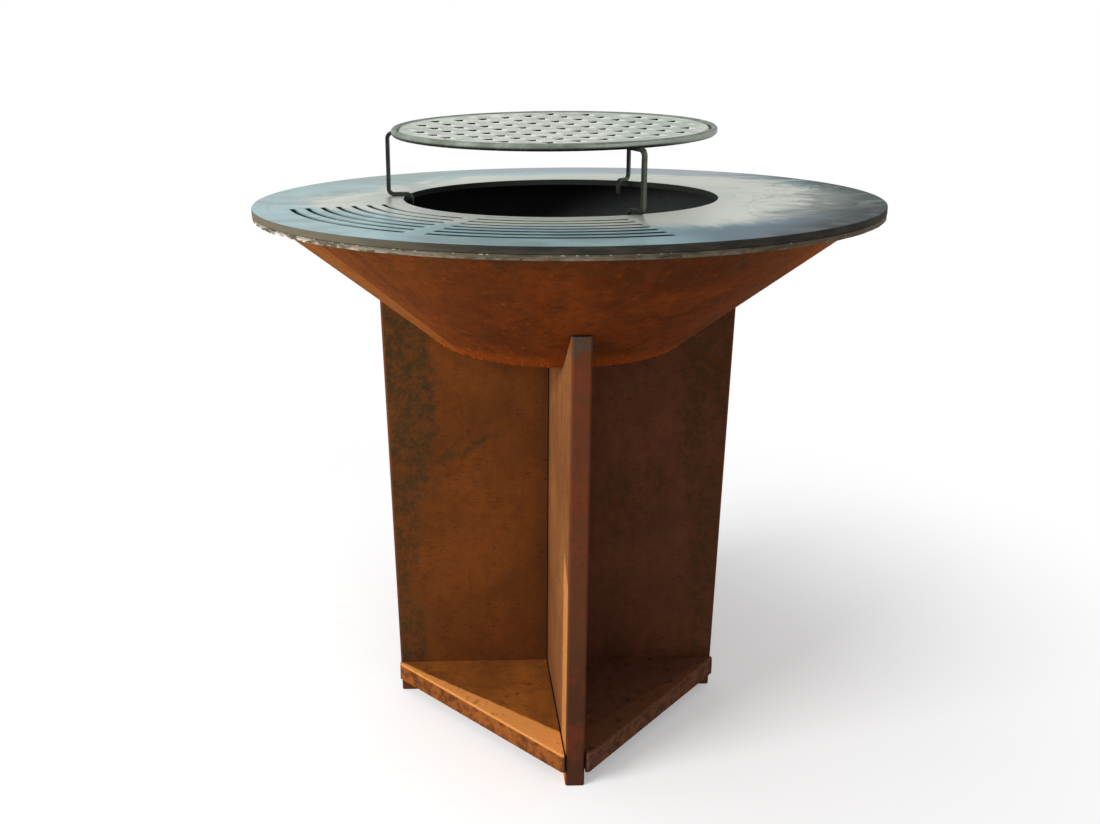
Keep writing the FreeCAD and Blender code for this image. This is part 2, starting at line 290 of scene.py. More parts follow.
# %% Group: rust skin
rust_group, given, out = new_group(
    "rust_skin",
    [("Place", PLACE, (0, 0, 0)), ("Fresh", COLOUR, tone(112, 60, 24)), ("Deep", COLOUR, tone(80, 42, 18)),
     ("Stain", NUMBER, 0.0), ("Washed", NUMBER, 0.0)],
    [("Color", COLOUR), ("Roughness", NUMBER), ("Height", NUMBER)])
g, spot = rust_group, given["Place"]
clouds = ramp(g, noise(g, spot, 5.5, 6, 0.66, 0.5), 0.28, 0.72)
mottle = ramp(g, noise(g, spot, 48, 7, 0.72, 0.3), 0.42, 0.66)
runs = ramp(g, noise(g, stretched(g, spot, 75, 75, 5), 1, 4, 0.6), 0.48, 0.76)
level_flecks = ramp(g, noise(g, stretched(g, spot, 70, 70, 300), 1, 5, 0.66), 0.56, 0.66)
flecks = times(g, level_flecks, ramp(g, noise(g, spot, 9, 4, 0.55), 0.38, 0.60))
grain = noise(g, spot, 520, 3, 0.65)
tears = scaled(g, given["Stain"], 0.045, noise(g, spot, 38, 8, 0.76, 0.25))
stain = times(g, given["Stain"], scaled(g, ramp(g, tears, 0.40, 0.58), 0.72, 0.28))
mossy = ramp(g, noise(g, spot, 64, 7, 0.72, 0.3), 0.40, 0.58)
skin = layered(g, mixed(g, clouds, given["Deep"], given["Fresh"]),
               (given["Deep"], mottle, 0.42),
               (tone(70, 38, 20), runs, 0.25),
               # Painted sunlight: a light orange layer where the plate's shadow ends.
               (tone(232, 154, 82), given["Washed"], 0.85),
               (tone(38, 22, 13), flecks, 0.65),
               (mixed(g, mossy, tone(88, 50, 18), tone(58, 43, 18)), stain))
grain_light = scaled(g, grain, 0.5, 0.75)
grain_grey = add(g, "ShaderNodeCombineColor", dict(enumerate([grain_light] * 3))).outputs[0]
skin = mixed(g, 1.0, skin, grain_grey, "MULTIPLY")
rough = scaled(g, stain, -0.10, scaled(g, mottle, 0.10, 0.82))
height = scaled(g, flecks, -0.5, scaled(g, grain, 0.5, times(g, mottle, 0.6)))
hand_out(g, out, Color=skin, Roughness=rough, Height=height)
print("group", rust_group.name, "with", len(g.nodes), "nodes")

# %% Group: soot
soot_group, given, out = new_group("fire_soot", [("Place", PLACE, (0, 0, 0))],
                                   [("Color", COLOUR), ("Roughness", NUMBER), ("Height", NUMBER)])
g, spot = soot_group, given["Place"]
ash = ramp(g, noise(g, spot, 14, 6, 0.66, 0.5), 0.50, 0.78)
crust = noise(g, spot, 160, 5, 0.7)
black = mixed(g, ash, tone(104, 108, 105), tone(130, 128, 120))
hand_out(g, out, Color=mixed(g, crust, black, tone(76, 79, 77)),
         Roughness=scaled(g, crust, 0.15, 0.78), Height=crust)
print("group", soot_group.name)

# %% [markdown]
# ## From groups to finishes
# A group only hands out colours, masks and heights. The shader itself stays in each material, where its plain
# values such as the specular level are set once. One helper makes that last part: a Principled shader with a
# bump from the height.

# %% Finish helpers
def use(tree, group, place, **values):
    """A group placed in a material's tree, with its inputs."""
    return add(tree, "ShaderNodeGroup", {"Place": place, **values}, node_tree=group).outputs


def close_finish(tree, color, roughness, height, depth, metallic=0.0, specular=0.12):
    """Principled shader with a bump of depth metres."""
    bump = add(tree, "ShaderNodeBump", {"Strength": 0.6, "Distance": depth, "Height": height})
    shader = add(tree, "ShaderNodeBsdfPrincipled", {
        "Base Color": color, "Roughness": roughness, "Metallic": metallic,
        "Specular IOR Level": specular, "Normal": bump.outputs[0]})
    add(tree, "ShaderNodeOutputMaterial", {"Surface": shader.outputs[0]})


def dress(material, *names):
    """Gives CAD nodes a finish through their material slots."""
    for name in names:
        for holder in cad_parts[name].material_slots:
            holder.material = material
    print(material.name, "on", ", ".join(names))


print("a finish can use", where_group.name, rust_group.name, soot_group.name)

# %% [markdown]
# ## Fins
# Each fin is a folded sheet. Rain running off the cooking plate wets its outer edge, so a dark stain follows
# that edge and spreads from it in the upper half. The left and back fins also have a torn vein of stain
# across them, all but the front fin have blots of old scale, and the front fin has a strip of painted
# sunlight low on its left face. Every fin also gets painted shade towards the corner beside the next fin. The
# stain could be painted on a picture of the sheet; a distance from the outer edge, disturbed by noise, fits
# all four fins alike.

# %% Fin finish
def fin_finish(name, fresh, deep, edge_tone, wet=1.0, vein=0.0, sunlit=0.0, blotted=0.0):
    """Rust skin with a stain by the distance from the fin's outer edge, as dark as wet says, a vein across
    it, blots of scale, a strip of painted sunlight low on its left face, and painted shade in the corner
    beside the next fin."""
    material, tree, place = new_finish(name)
    at = use(tree, where_group, place)
    slack = scaled(tree, noise(tree, place, 13, 7, 0.68, 0.3), 0.12, -0.06)
    lean = scaled(tree, at["Height"], FIN_SLOPE, FIN_FOOT_R)
    inward = calc(tree, "SUBTRACT", lean, at["Reach"])
    upper = ramp(tree, at["Height"], 0.28, 0.52)
    band = scaled(tree, upper, 0.045, 0.044)
    stain = ramp(tree, calc(tree, "SUBTRACT", calc(tree, "ADD", inward, slack), band), 0.012, -0.012)
    stain = times(tree, stain, scaled(tree, upper, 0.15 * wet, 0.85 * wet))
    across = scaled(tree, at["Reach"], 0.42, calc(tree, "SUBTRACT", at["Height"], 0.535))
    wander = scaled(tree, noise(tree, place, 18, 6, 0.66), 0.12, calc(tree, "SUBTRACT", across, 0.06))
    thread = ramp(tree, calc(tree, "ABSOLUTE", wander), 0.015, 0.003)
    thread = times(tree, thread, ramp(tree, at["Reach"], 0.06, 0.13))
    stain = calc(tree, "MAXIMUM", stain, times(tree, thread, vein))
    blots = ramp(tree, noise(tree, stretched(tree, place, 12, 12, 7), 1, 7, 0.72, 0.6), 0.50, 0.62)
    stain = calc(tree, "MAXIMUM", stain, times(tree, blots, blotted))
    stain = times(tree, stain, ramp(tree, at["Height"], 0.045, 0.062))
    # Painted sunlight: a strip along the outer edge, low on the left face, where the plate's shadow ends.
    ragged = scaled(tree, noise(tree, place, 26, 5, 0.6), 0.016, calc(tree, "SUBTRACT", inward, 0.008))
    strip = times(tree, ramp(tree, ragged, 0.060, 0.048), ramp(tree, at["X"], -0.0130, -0.0148))
    below = scaled(tree, inward, -0.68, at["Height"])
    strip = times(tree, strip, ramp(tree, below, 0.352, 0.334), sunlit)
    rust = use(tree, rust_group, place, Fresh=fresh, Deep=deep, Stain=stain, Washed=strip)
    fold = times(tree, ramp(tree, inward, 0.0045, 0.0025), 0.88)
    blotch = noise(tree, place, 15, 5, 0.62)
    scale_left = times(tree, ramp(tree, blotch, 0.52, 0.64), ramp(tree, at["Height"], 0.40, 0.60))
    damp = ramp(tree, at["Height"], 0.40, 0.12)
    ruddy = ramp(tree, blotch, 0.46, 0.36)
    color = layered(tree, rust["Color"],
                    # Painted shade: darker towards the corner beside the next fin, and a dark line of shade
                    # in the corner itself.
                    (tone(58, 31, 15), ramp(tree, at["Reach"], 0.060, 0.018), 0.35),
                    (tone(22, 14, 9), ramp(tree, at["Reach"], 0.0178, 0.0164), 0.9),
                    (edge_tone, fold),
                    (tone(70, 66, 58), scale_left, fold),
                    (tone(58, 34, 20), damp, fold, 0.7),
                    (tone(112, 50, 28), ruddy, fold, 0.6))
    close_finish(tree, color, rust["Roughness"], rust["Height"], 0.0007)
    return material


print("fins reach", FIN_FOOT_R, "at the floor and lean out by", round(FIN_SLOPE, 4))

# %% Fins and core
for side, fresh, deep, edge_tone, marks in (
        ("left", (116, 62, 19), (88, 46, 15), (104, 60, 32), {"vein": 0.8, "blotted": 0.2}),
        ("front", (144, 93, 48), (114, 69, 35), (90, 48, 29), {"wet": 0.1, "sunlit": 0.62}),
        ("right", (112, 64, 42), (88, 51, 34), (108, 58, 32), {"wet": 0.7, "blotted": 0.62}),
        ("back", (112, 60, 26), (82, 44, 20), (100, 56, 31), {"vein": 0.4, "blotted": 0.4})):
    finish = fin_finish(f"fin_rust_{side}", tone(*fresh), tone(*deep), tone(*edge_tone), **marks)
    dress(finish, f"fin_{side}", f"foot_strip_{side}")
dress(fin_finish("core_rust", tone(94, 50, 24), tone(72, 40, 20), tone(80, 44, 22)), "core_tube")

# %% [markdown]
# ## Trays
# The trays are three-cornered shelves with turned-down edges. Beyond the plate's shadow a strip along the
# long edge gets painted sunlight, a light orange, while the middle keeps dust and bark stains. The strip
# follows from the distance to the long edge, which runs at 45 degrees, so it is a plain sum of the two level
# directions. It widens towards the front and back fins, and a dark line marks the seam beside those.

# %% Tray finish
TRAY_SUM = 0.3048
TRAY_TOP = 0.056


def tray_finish(name, fresh, deep, sunlit, lip_light, lip_dark):
    """Rust skin with a strip of painted sunlight beside the long edge and a dark seam; the lip has tones of
    its own.
    """
    material, tree, place = new_finish(name)
    at = use(tree, where_group, place)
    level_sum = calc(tree, "ADD", calc(tree, "ABSOLUTE", at["X"]), calc(tree, "ABSOLUTE", at["Y"]))
    inward = times(tree, calc(tree, "SUBTRACT", TRAY_SUM, level_sum), math.sqrt(0.5))
    top = ramp(tree, at["Height"], TRAY_TOP - 0.004, TRAY_TOP - 0.001)
    # Painted sunlight: a strip beside the long edge, where the plate's shadow ends.
    slack = scaled(tree, noise(tree, place, 30, 4), 0.008, calc(tree, "SUBTRACT", inward, 0.004))
    taper = scaled(tree, calc(tree, "ABSOLUTE", at["Y"]), -0.185, slack)
    strip = times(tree, ramp(tree, taper, 0.005, 0.0), top)
    swept = ramp(tree, noise(tree, stretched(tree, place, 9, 30, 30), 1, 6, 0.66, 0.4), 0.46, 0.70)
    stain = times(tree, swept, top, calc(tree, "SUBTRACT", 0.45, strip))
    rust = use(tree, rust_group, place, Fresh=fresh, Deep=deep, Stain=stain,
               Washed=times(tree, strip, sunlit))
    lip = calc(tree, "SUBTRACT", 1.0, top)
    lip_tone = mixed(tree, ramp(tree, noise(tree, place, 60, 6, 0.7), 0.40, 0.62), lip_light, lip_dark)
    seam = ramp(tree, calc(tree, "ABSOLUTE", at["X"]), 0.0182, 0.0170)
    color = layered(tree, rust["Color"], (lip_tone, lip, 0.8), (tone(20, 12, 8), seam))
    close_finish(tree, color, rust["Roughness"], rust["Height"], 0.0007)
    return material


# The left tray's tones are set lighter to stand in for sunlight from above: painted light.
for side, sunlit, *tones in (
        ("left", 1.15, (164, 96, 36), (114, 66, 24), (150, 84, 34), (84, 44, 18)),
        ("right", 0.06, (114, 70, 48), (88, 56, 40), (112, 68, 44), (60, 38, 26))):
    fresh, deep, lip_light, lip_dark = (tone(*one) for one in tones)
    finish = tray_finish(f"tray_rust_{side}", fresh, deep, sunlit, lip_light, lip_dark)
    dress(finish, f"tray_front_{side}", f"tray_back_{side}")

# %% [markdown]
# ## Surfaces from numbers
# Most new pieces are a closed outline carried round the axis or along a path, as a grid of points. The
# helpers here round the outline's corners, number the grid's quads so that they face outwards, and hand whole
# arrays to the mesh. A modifier such as Bevel could round corners too, but the formula gives exact radii and
# no stray faces.

# %% Surface helpers
def unit(vectors):
    """Vectors divided by their own lengths."""
    return vectors / np.linalg.norm(vectors, axis=-1, keepdims=True)


def rounded(corners, radius, steps=4, closed=True):
    """Outline with arcs for corners. With unit directions back and ahead at a corner and half the angle
    between them, the arc's centre lies on their sum, radius / sin(half) away, and the arc touches both sides
    radius / tan(half) from the corner. A point more on each side of the arc keeps the straight runs flat."""
    p = np.asarray(corners, float)
    back, ahead = unit(np.roll(p, 1, 0) - p), unit(np.roll(p, -1, 0) - p)
    half = np.arccos(np.clip((back * ahead).sum(1), -1, 1))[:, None] / 2
    reach = radius / np.tan(half)
    centre = p + unit(back + ahead) * radius / np.sin(half)
    first, last = p + back * reach - centre, p + ahead * reach - centre
    turn = np.pi - 2 * half[:, :, None]
    t = np.linspace(0, 1, steps)[None, :, None]
    swing = first[:, None] * np.sin((1 - t) * turn) + last[:, None] * np.sin(t * turn)
    arc = centre[:, None] + swing / np.sin(turn)
    stay = 0.6 * radius
    lead = (p + back * (reach + stay))[:, None]
    tail = (p + ahead * (reach + stay))[:, None]
    points = np.concatenate([lead, arc, tail], 1)
    if closed:
        return points.reshape(-1, p.shape[1])
    return np.concatenate([p[:1], points[1:-1].reshape(-1, p.shape[1]), p[-1:]])


def grid_quads(rows, columns, round_rows=True):
    """Corner numbers of a grid's quads. Columns close on themselves, and rows do if round_rows."""
    i = np.arange(rows if round_rows else rows - 1)[:, None]
    j = np.arange(columns)[None, :]
    i_next, j_next = (i + 1) % rows, (j + 1) % columns
    return np.stack(np.broadcast_arrays(i * columns + j, i_next * columns + j, i_next * columns + j_next,
                                        i * columns + j_next), -1).reshape(-1, 4)


def cap_quads(count, first, flip):
    """Quads that close a ring of count points, an even number, by pairing points from its two ends."""
    k = np.arange(count // 2 - 1)
    quads = np.stack([k, k + 1, count - 2 - k, count - 1 - k], -1) + first
    return quads[:, ::-1] if flip else quads


def capped_quads(rows, columns):
    """Quads of a tube of rows rings, both ends closed."""
    return np.concatenate([grid_quads(rows, columns, False), cap_quads(columns, 0, False),
                           cap_quads(columns, (rows - 1) * columns, True)])


def repeated(quads, copies, points):
    """Quads of copies of one shape, whose points lie one shape after the other."""
    return (quads[None] + np.arange(copies)[:, None, None] * points).reshape(-1, 4)


def put(name, points, quads, material, body, slot, *nodes):
    """One mesh piece at the origin that rides on a body and may stand for CAD nodes."""
    mesh = bpy.data.meshes.new(name)
    mesh.vertices.add(len(points))
    mesh.vertices.foreach_set("co", np.ascontiguousarray(points, np.float32).ravel())
    mesh.loops.add(quads.size)
    mesh.loops.foreach_set("vertex_index", np.ascontiguousarray(quads, np.int32).ravel())
    mesh.polygons.add(len(quads))
    mesh.polygons.foreach_set("loop_start", np.arange(0, quads.size, 4, dtype=np.int32))
    mesh.update(calc_edges=True)
    mesh.polygons.foreach_set("use_smooth", np.ones(len(quads), bool))
    mesh.set_sharp_from_angle(angle=math.radians(40))
    mesh.materials.append(material)
    piece = bpy.data.objects.new(name, mesh)
    bpy.context.scene.collection.objects.link(piece)
    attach(piece, body)
    if nodes:
        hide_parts(*nodes)
    print(name, len(points), "points,", len(quads), "quads, rides on", body)


def turned(outline, turns):
    """Outline (radius, height) carried round the axis: (radius cos a, radius sin a, height)."""
    a = np.linspace(0, 2 * np.pi, turns, endpoint=False)[:, None]
    r, z = outline[None, :, 0], outline[None, :, 1]
    return np.stack([r * np.cos(a), r * np.sin(a), np.broadcast_to(z, (turns, len(outline)))], -1)


print("a square with rounded corners has", len(rounded([[0, 0], [1, 0], [1, 1], [0, 1]], 0.1)), "points")

# %% [markdown]
# ## Bowl
# The bowl's wall is a sheet rolled to a cone and welded shut along one straight line, left of the front.
# Outside it is rust, dark and blotched under the rim, with run marks down the slope. Painted light lies on it
# too: lighter on the left beyond that seam and on both sides, brightest high on the right and in a band at
# the foot, so that the front stays darker. Inside it is grey from soot and ash. One closed surface carries
# both finishes, and the distance from the outer slope says which side a point is on.

# %% Bowl finish
SEAM_ANGLE = math.radians(217.5 - 360)
bowl_rust, tree, place = new_finish("bowl_rust")
at = use(tree, where_group, place)
slope_r = scaled(tree, at["Height"], BOWL_SLOPE, FOOT_R - BOWL_SLOPE * BOWL_Z)
outside = ramp(tree, calc(tree, "SUBTRACT", at["Radius"], slope_r), -0.0050, -0.0025)
runs_place = add(tree, "ShaderNodeCombineXYZ", {0: times(tree, at["Angle"], 14.0),
                                                1: times(tree, at["Height"], 5.0)}).outputs[0]
slope_runs = ramp(tree, noise(tree, runs_place, 1.0, 5, 0.6, 0.4), 0.42, 0.72)
rim_drips = scaled(tree, noise(tree, runs_place, 2.2, 6, 0.66), 0.16, at["Height"])
stain = scaled(tree, ramp(tree, rim_drips, 0.90, 0.985), 0.5, times(tree, slope_runs, 0.25))
stain = scaled(tree, ramp(tree, noise(tree, place, 21, 7, 0.7, 0.4), 0.50, 0.68), 0.35, stain)
rust = use(tree, rust_group, place, Fresh=tone(120, 55, 13), Deep=tone(80, 35, 9), Stain=stain)
past_seam = calc(tree, "WRAP", calc(tree, "SUBTRACT", SEAM_ANGLE, at["Angle"]), math.pi, -math.pi)
along = times(tree, past_seam, at["Radius"])
# Painted light: lighter on the left beyond the seam.
sunny = times(tree, ramp(tree, along, -0.004, 0.004), ramp(tree, at["X"], 0.08, -0.16),
              scaled(tree, slope_runs, -0.45, 0.80))
# Painted light: lighter on the left and right sides, so the front stays darker.
lit = scaled(tree, ramp(tree, at["X"], 0.14, 0.40), 1.3, ramp(tree, at["X"], -0.10, -0.36))
lit = times(tree, lit, scaled(tree, slope_runs, -0.3, 0.55))
# Painted light: a bright orange patch high on the right, under the rim.
light_high_right = times(tree, ramp(tree, at["X"], 0.24, 0.42), ramp(tree, at["Height"], 0.78, 0.87),
             scaled(tree, slope_runs, -0.5, 0.7))
bead_line = ramp(tree, calc(tree, "ABSOLUTE", along), 0.0030, 0.0012)
blotches = ramp(tree, noise(tree, place, 40, 7, 0.72, 0.4), 0.48, 0.66)
sparks = ramp(tree, noise(tree, place, 66, 6, 0.7, 0.2), 0.57, 0.68)
# Painted light: a bright orange band low on the wall at the foot.
foot_light = ramp(tree, at["Height"], 0.70, 0.668)
outer_tone = layered(tree, rust["Color"],
                     (tone(134, 72, 22), lit),
                     (tone(184, 96, 28), light_high_right),
                     (tone(146, 84, 30), sunny),
                     (tone(168, 98, 40), bead_line, 0.55),
                     (tone(56, 27, 9), blotches, 0.32),
                     (tone(164, 82, 20), sparks, 0.30),
                     (tone(142, 62, 12), foot_light, 0.6))
soot = use(tree, soot_group, place)
color = mixed(tree, outside, soot["Color"], outer_tone)
rough = between(tree, outside, soot["Roughness"], rust["Roughness"])
height = between(tree, outside, soot["Height"], rust["Height"])
close_finish(tree, color, rough, height, 0.0007, specular=0.05)
print("finish", bowl_rust.name)

# %% Bowl wall
BOWL_STEPS, BOWL_TURNS = 20, 240
outer = np.linspace([FOOT_R, BOWL_Z], [MOUTH_R, BOWL_TOP], BOWL_STEPS)
inner = outer[::-1] - [WALL_ACROSS, 0]
bowl_points = turned(np.concatenate([outer, inner]), BOWL_TURNS)
put("bowl_wall", bowl_points.reshape(-1, 3), grid_quads(BOWL_TURNS, 2 * BOWL_STEPS), bowl_rust,
    "bowl", "weathering_steel", "bowl_cone")

# %% Bowl floor
floor_soot, tree, place = new_finish("bowl_floor_soot")
at = use(tree, where_group, place)
soot = use(tree, soot_group, place)
rust = use(tree, rust_group, place, Fresh=tone(112, 56, 24), Deep=tone(82, 42, 20))
above = ramp(tree, at["Height"], BOWL_Z + 0.0005, BOWL_Z + 0.0015)
color = mixed(tree, above, rust["Color"], soot["Color"])
close_finish(tree, color, soot["Roughness"], soot["Height"], 0.0008)
dress(floor_soot, "bowl_floor")

# %% [markdown]
# ## Weld marks
# The floor is welded into the cone's foot. The bead lies underneath, rippled like stacked coins, and spatter
# sits on the wall just above the foot as small bright drops. Bump could fake both, but they stand proud of
# the surface, so they are modelled: the bead is a round section carried along four arcs that leave
# room for the fins, and the drops are small domes set square to the wall.

# %% Foot bead
weld_rust, tree, place = new_finish("weld_rust")
rust = use(tree, rust_group, place, Fresh=tone(206, 106, 30), Deep=tone(150, 66, 18))
close_finish(tree, rust["Color"], rust["Roughness"], rust["Height"], 0.0004)

BEAD_R, BEAD_SIZE, BEAD_STEPS, BEAD_SIDES = FOOT_R - WALL_ACROSS, 0.0021, 220, 10
FIN_CLEAR, RIPPLES = 0.022, 74
clear_angle = math.asin(FIN_CLEAR / BEAD_R)
s = np.linspace(0, 1, BEAD_STEPS)
quarter = np.arange(4)[:, None] * np.pi / 2
path_angle = quarter + clear_angle + s[None] * (np.pi / 2 - 2 * clear_angle)
ripple = 1 + 0.16 * np.abs(np.sin(s * np.pi * RIPPLES)) + 0.07 * np.sin(s * 41 + quarter)
ends = np.sqrt(np.clip(1 - np.abs(2 * s - 1) ** 60, 0.02, 1))
size = BEAD_SIZE * ripple * ends
around = np.linspace(0, 2 * np.pi, BEAD_SIDES, endpoint=False)
bead_r = BEAD_R + size[..., None] * np.cos(around)
bead_z = BOWL_Z - 0.0002 + 0.75 * size[..., None] * np.sin(around)
along_x, along_y = np.cos(path_angle)[..., None], np.sin(path_angle)[..., None]
bead = np.stack([bead_r * along_x, bead_r * along_y, bead_z], -1)
quads = repeated(capped_quads(BEAD_STEPS, BEAD_SIDES), 4, BEAD_STEPS * BEAD_SIDES)
put("bowl_foot_bead", bead.reshape(-1, 3), quads, weld_rust, "bowl", "weathering_steel")

# %% Spatter drops
DROPS, DROP_SIDES, CORNER_CLEAR = 560, 6, 0.14
chance = np.random.default_rng(7)
sector = chance.integers(0, 4, DROPS) * np.pi / 2
drop_angle = sector + CORNER_CLEAR + chance.random(DROPS) * (np.pi / 2 - 2 * CORNER_CLEAR)
up_slope = 0.002 + 0.040 * chance.random(DROPS) ** 1.8
drop_size = 0.0005 + 0.0009 * chance.random(DROPS) ** 3
lay = 1 / math.hypot(1, BOWL_SLOPE)
ca, sa = np.cos(drop_angle), np.sin(drop_angle)
drop_r = FOOT_R + up_slope * BOWL_SLOPE * lay
middle = np.stack([drop_r * ca, drop_r * sa, BOWL_Z + up_slope * lay], -1)
outward = np.stack([lay * ca, lay * sa, np.full(DROPS, -BOWL_SLOPE * lay)], -1)
level = np.stack([-sa, ca, np.zeros(DROPS)], -1)
upward = np.cross(outward, level)
ring_wide = drop_size[:, None] * [1.0, 0.82, 0.42]
ring_high = drop_size[:, None] * [-0.2, 0.45, 0.72]
rings = ring_wide.shape[1]
a = np.linspace(0, 2 * np.pi, DROP_SIDES, endpoint=False)
disc = level[:, None] * np.cos(a)[None, :, None] + upward[:, None] * np.sin(a)[None, :, None]
drops = (middle[:, None, None] + ring_wide[..., None, None] * disc[:, None]
         + ring_high[..., None, None] * outward[:, None, None])
quads = repeated(capped_quads(rings, DROP_SIDES)[:, ::-1], DROPS, rings * DROP_SIDES)
put("bowl_weld_spatter", drops.reshape(-1, 3), quads, weld_rust, "bowl", "weathering_steel")

# %% [markdown]
# ## Rim ring
# The ring welded on the bowl's mouth carries the plate and shows as the lower of two layers at the edge. It
# was cut with a flame, so its edge wanders by some tenths of a millimetre, and it is grey-brown with pale
# worn patches on the left. The wander is a sum of sines round the axis, taken off the radius only inwards so
# that the ring never grows past the CAD ring.

# %% Rim finish
rim_steel, tree, place = new_finish("rim_steel")
at = use(tree, where_group, place)
shade = noise(tree, stretched(tree, place, 26, 26, 160), 1, 5, 0.62)
left = ramp(tree, at["X"], -0.22, -0.44)
worn = ramp(tree, noise(tree, stretched(tree, place, 30, 30, 110), 1, 6, 0.68, 0.6), 0.46, 0.58)
low_edge = scaled(tree, ramp(tree, at["Height"], RIM_TOP - 0.002, BOWL_TOP + 0.001), 0.8, 0.2)
specks = ramp(tree, noise(tree, place, 210, 2, 0.5), 0.66, 0.72)
rusty = ramp(tree, noise(tree, place, 95, 3, 0.6), 0.66, 0.72)
joint = ramp(tree, at["Height"], RIM_TOP - 0.0024, RIM_TOP - 0.0018)
dots = ramp(tree, noise(tree, stretched(tree, place, 150, 150, 0), 1, 3, 0.5), 0.58, 0.64)
shut = ramp(tree, at["Height"], RIM_TOP - 0.0013, RIM_TOP - 0.0007)
color = mixed(tree, ramp(tree, shade, 0.30, 0.70), tone(60, 54, 42), tone(104, 95, 76))
color = layered(tree, color,
                (tone(98, 82, 62), ramp(tree, at["X"], 0.10, 0.36)),
                (tone(222, 216, 202), worn, low_edge, scaled(tree, left, 0.85, 0.12)),
                (tone(44, 36, 26), specks, 0.7),
                (tone(168, 92, 42), rusty, 0.7),
                (tone(186, 176, 154), joint, dots, 0.6),
                (tone(30, 27, 22), shut, 0.8))
close_finish(tree, color, 0.7, shade, 0.0006)
print("finish", rim_steel.name)

# %% Rim ring
RIM_TURNS, RIM_ROUND, CUT_WANDER = 360, 0.0011, 0.00035
rim_corners = [[RIM_INNER_R, BOWL_TOP], [PLATE_R, BOWL_TOP], [PLATE_R, RIM_TOP], [RIM_INNER_R, RIM_TOP]]
rim_outline = rounded(rim_corners, RIM_ROUND)
rim_points = turned(rim_outline, RIM_TURNS)
a = np.linspace(0, 2 * np.pi, RIM_TURNS, endpoint=False)
wander = CUT_WANDER * (1.6 + np.sin(17 * a + 1) * 0.6 + np.sin(43 * a) * 0.5 + np.sin(89 * a + 2) * 0.5)
at_edge = np.clip((rim_outline[:, 0] - PLATE_R + 0.004) / 0.003, 0, 1)
rim_points[..., :2] *= (1 - wander[:, None] * at_edge[None] / PLATE_R)[..., None]
put("rim_band", rim_points.reshape(-1, 3), grid_quads(RIM_TURNS, len(rim_outline)), rim_steel,
    "bowl", "plate_steel", "rim_ring")

# %% [markdown]
# ## Cooking plate
# The plate is a ring of thick steel with two sectors of curved drip slots. Its top is wiped with oil: pale by
# the fire hole, blue towards the edge, clouded grey on the right, with fine marks from wiping round and
# round. Painted shade darkens the top beside the slots' edges, mostly right of the bridge between the
# sectors, and left of it a painted highlight lies on the upper part of the walls that face outwards. The
# slots could be cut with Boolean modifiers, but those leave long thin faces. On a grid of radii and angles
# the slots are just cells that are left out: the kept cells make the top and the underside, and every border
# between a kept and a missing cell makes a wall.

# %% Plate marks: heat, smoke and wiping
plate_steel, tree, place = new_finish("plancha_steel")
at = use(tree, where_group, place)
cloudy = noise(tree, place, 6.5, 6, 0.6, 1.2)
slack = scaled(tree, cloudy, 0.16, calc(tree, "SUBTRACT", at["Radius"], 0.08))
bright_to = scaled(tree, ramp(tree, at["X"], -0.05, 0.40), -0.095, slack)
off_side = calc(tree, "ABSOLUTE", calc(tree, "ADD", at["Y"], 0.03))
by_slots = times(tree, ramp(tree, at["X"], -0.20, -0.34), ramp(tree, off_side, 0.15, 0.05))
near_fire = ramp(tree, scaled(tree, by_slots, -0.080, bright_to), 0.375, 0.315)
back = times(tree, ramp(tree, at["Y"], 0.10, 0.36), ramp(tree, slack, 0.38, 0.44))
dusty = times(tree, ramp(tree, at["X"], -0.08, -0.26), ramp(tree, at["Y"], -0.12, 0.06),
              ramp(tree, cloudy, 0.40, 0.60))
lilac = times(tree, back, ramp(tree, at["X"], -0.20, -0.04))
slate = times(tree, ramp(tree, at["X"], 0.02, 0.16), ramp(tree, at["Y"], -0.16, -0.26),
              ramp(tree, slack, 0.36, 0.43))
swirl = noise(tree, stretched(tree, place, 7, 11, 1), 1.0, 8, 0.66, 2.4)
smoke_from = scaled(tree, ramp(tree, at["Y"], -0.02, -0.26), 0.11, scaled(tree, swirl, 0.40, at["X"]))
smoke_out = ramp(tree, scaled(tree, swirl, 0.12, at["Radius"]), 0.47, 0.54)
charred = times(tree, ramp(tree, at["X"], 0.12, 0.32), ramp(tree, at["Y"], -0.10, -0.22), smoke_out)
far_right = calc(tree, "MAXIMUM", ramp(tree, smoke_from, 0.56, 0.68), charred)
wisps = times(tree, ramp(tree, swirl, 0.53, 0.60), ramp(tree, at["X"], 0.22, 0.36),
              scaled(tree, charred, -0.7, 1.0))
drift = ramp(tree, noise(tree, stretched(tree, place, 5, 9, 1), 1.0, 6, 0.62, 1.4), 0.46, 0.62)
drift = times(tree, drift, ramp(tree, slack, 0.33, 0.40), 0.6, calc(tree, "SUBTRACT", 1.0, far_right))
wiping = add(tree, "ShaderNodeCombineXYZ", {0: times(tree, at["Angle"], 2.5),
                                            1: times(tree, at["Radius"], 150.0)}).outputs[0]
wiped = noise(tree, wiping, 1.0, 5, 0.6, 0.3)
print("marks by place:", len(tree.nodes), "nodes")

